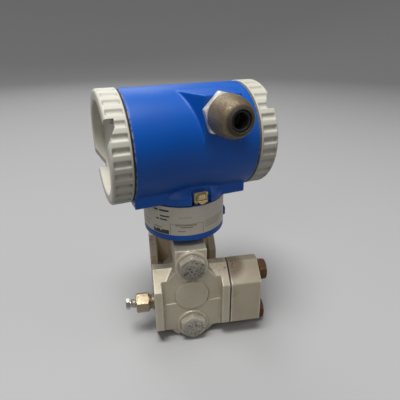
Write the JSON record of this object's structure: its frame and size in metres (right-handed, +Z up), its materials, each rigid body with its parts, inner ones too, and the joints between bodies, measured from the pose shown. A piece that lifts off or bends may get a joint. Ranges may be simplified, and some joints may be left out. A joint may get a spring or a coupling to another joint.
{
  "type": "pressure transmitter",
  "caption": "Differential pressure transmitter: blue two-cover electronics housing turning on a neck above bolted steel process covers, with cable gland, vent and side connector.",
  "frame": {"origin": "on the floor below the middle of the bounding box", "axes": "+Z up along the neck, -Y out of the front process cover, +X towards the process connector"},
  "size_m": [0.135, 0.1146, 0.1994],
  "materials": {
    "steel_casting": "blasted stainless casting, stained",
    "bright_steel": "turned stainless",
    "bolt_steel": "zinc plated, dulled",
    "rusty_steel": "rusted",
    "vent_steel": "stainless, tinted brown",
    "blue_paint": "textured blue enamel",
    "grey_paint": "cream grey enamel, dirty",
    "plate_metal": "matt silver plate",
    "brass": "dull yellow",
    "nickel_brass": "nickel plate, dirty",
    "gasket": "dark sealing ring",
    "black_rubber": "matt",
    "black_plastic": "moulded"
  },
  "bodies": {
    "process_body": {"front_process_cover": "steel_casting", "rear_process_cover": "steel_casting", "sensor_core": "steel_casting", "front_cover_gasket": "gasket", "rear_cover_gasket": "gasket", "isolating_diaphragms": "bright_steel", "cover_bolts": "bolt_steel", "cover_nuts": "bolt_steel", "process_connector": "steel_casting", "connector_gasket": "gasket", "connector_bolts": "rusty_steel", "connector_washers": "rusty_steel", "vent_body": "vent_steel", "rear_vent_plug": "bright_steel", "neck": "blue_paint", "nameplate": "plate_metal", "neck_seal": "black_rubber"},
    "vent_seat": {"vent_ball": "bright_steel"},
    "vent_stem": {"vent_screw": "bright_steel"},
    "housing": {"electronics_housing": "blue_paint", "electronics_module": "black_plastic", "terminal_block": "black_plastic", "terminal_screws": "bright_steel", "ground_clamp": "brass", "ground_screw": "brass", "gland_body": "nickel_brass", "conduit_plug": "nickel_brass"},
    "electronics_lid_ring": {"electronics_cover_seal": "black_rubber"},
    "electronics_lid": {"electronics_cover": "grey_paint"},
    "terminal_lid_ring": {"terminal_cover_seal": "black_rubber"},
    "terminal_lid": {"terminal_cover": "grey_paint"},
    "gland_ring": {"gland_seal": "black_rubber"},
    "gland_cap": {"gland_nut": "nickel_brass"}
  },
  "joints": [
    {"name": "housing_turn", "type": "hinge", "parent": "process_body", "child": "housing", "pos_m": [0, 0.0049, 0.117], "axis": [0, 0, 1], "range_deg": [-192.7, 167.3]},
    {"name": "electronics_cover_travel", "type": "slide", "parent": "housing", "child": "electronics_lid_ring", "axis": [-0.9755, -0.2198, 0], "range_m": [0, 0.014]},
    {"name": "electronics_cover_turn", "type": "hinge", "parent": "electronics_lid_ring", "child": "electronics_lid", "pos_m": [-0.04517, -0.00528, 0.1584], "axis": [-0.9755, -0.2198, 0], "range_deg": [0, 2520]},
    {"name": "terminal_cover_travel", "type": "slide", "parent": "housing", "child": "terminal_lid_ring", "axis": [0.9755, 0.2198, 0], "range_m": [0, 0.014]},
    {"name": "terminal_cover_turn", "type": "hinge", "parent": "terminal_lid_ring", "child": "terminal_lid", "pos_m": [0.04517, 0.01508, 0.1584], "axis": [0.9755, 0.2198, 0], "range_deg": [0, 2520]},
    {"name": "gland_nut_travel", "type": "slide", "parent": "housing", "child": "gland_ring", "axis": [0.2198, -0.9755, 0], "range_m": [0, 0.006]},
    {"name": "gland_nut_turn", "type": "hinge", "parent": "gland_ring", "child": "gland_cap", "pos_m": [0.02592, -0.04051, 0.1838], "axis": [0.2198, -0.9755, 0], "range_deg": [0, 1440]},
    {"name": "vent_screw_travel", "type": "slide", "parent": "process_body", "child": "vent_seat", "axis": [-1, 0, 0], "range_m": [0, 0.002]},
    {"name": "vent_screw_turn", "type": "hinge", "parent": "vent_seat", "child": "vent_stem", "pos_m": [-0.0446, -0.0221, 0.03], "axis": [-1, 0, 0], "range_deg": [0, 720]}
  ],
  "couplings": [
    {"joint": "electronics_cover_travel", "follows": "electronics_cover_turn", "m_per_rad": 0.00031831},
    {"joint": "terminal_cover_travel", "follows": "terminal_cover_turn", "m_per_rad": 0.00031831},
    {"joint": "gland_nut_turn", "follows": "gland_nut_travel", "rad_per_m": 4188.8},
    {"joint": "vent_screw_turn", "follows": "vent_screw_travel", "rad_per_m": 6283.2}
  ]
}
